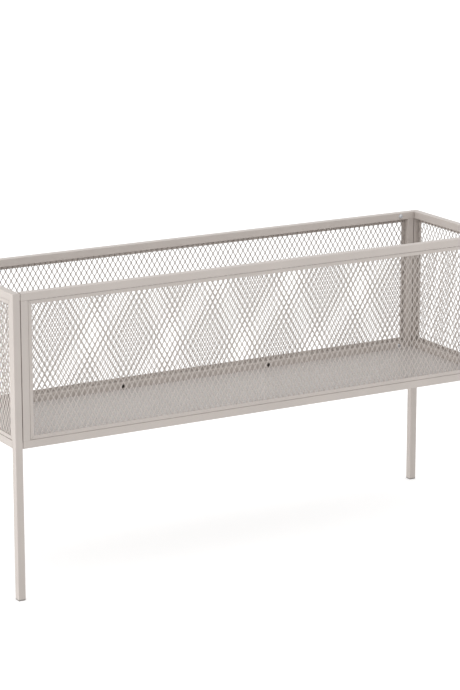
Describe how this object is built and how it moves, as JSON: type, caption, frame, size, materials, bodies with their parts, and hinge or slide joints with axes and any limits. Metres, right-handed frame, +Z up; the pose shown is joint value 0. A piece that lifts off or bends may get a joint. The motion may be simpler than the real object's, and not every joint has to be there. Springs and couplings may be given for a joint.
{
  "type": "raised planter on legs",
  "caption": "Long open-topped planter box with expanded-metal walls in a square-tube frame, a plain sheet floor and straight square legs.",
  "frame": {"origin": "on the ground, under the middle of the planter", "axes": "+X along the front to the right, +Y to the back, +Z up"},
  "size_m": [1.1, 0.3, 0.6],
  "materials": {
    "powder_coat": "matt powder coat, warm greige",
    "zinc": "bright zinc plate",
    "foot_plastic": "matt moulded plastic, grey-brown"
  },
  "bodies": {
    "root": {"floor_sheet": "powder_coat", "front_border_bottom": "powder_coat", "front_border_left": "powder_coat", "front_border_right": "powder_coat", "front_border_top": "powder_coat", "front_bottom_rail": "powder_coat", "front_ledge": "powder_coat", "front_left_foot": "foot_plastic", "front_left_leg": "powder_coat", "front_left_lower_spigot": "powder_coat", "front_left_stile": "powder_coat", "front_left_upper_spigot": "powder_coat", "front_mesh": "powder_coat", "front_right_foot": "foot_plastic", "front_right_leg": "powder_coat", "front_right_lower_spigot": "powder_coat", "front_right_stile": "powder_coat", "front_right_upper_spigot": "powder_coat", "front_top_rail": "powder_coat", "left_border_bottom": "powder_coat", "left_border_front": "powder_coat", "left_border_rear": "powder_coat", "left_border_top": "powder_coat", "left_bottom_rail": "powder_coat", "left_ledge": "powder_coat", "left_mesh": "powder_coat", "left_top_rail": "powder_coat", "panel_screws": "zinc", "rear_border_bottom": "powder_coat", "rear_border_left": "powder_coat", "rear_border_right": "powder_coat", "rear_border_top": "powder_coat", "rear_bottom_rail": "powder_coat", "rear_ledge": "powder_coat", "rear_left_foot": "foot_plastic", "rear_left_leg": "powder_coat", "rear_left_lower_spigot": "powder_coat", "rear_left_stile": "powder_coat", "rear_left_upper_spigot": "powder_coat", "rear_mesh": "powder_coat", "rear_right_foot": "foot_plastic", "rear_right_leg": "powder_coat", "rear_right_lower_spigot": "powder_coat", "rear_right_stile": "powder_coat", "rear_right_upper_spigot": "powder_coat", "rear_top_rail": "powder_coat", "right_border_bottom": "powder_coat", "right_border_front": "powder_coat", "right_border_rear": "powder_coat", "right_border_top": "powder_coat", "right_bottom_rail": "powder_coat", "right_ledge": "powder_coat", "right_mesh": "powder_coat", "right_top_rail": "powder_coat"}
  },
  "joints": []
}
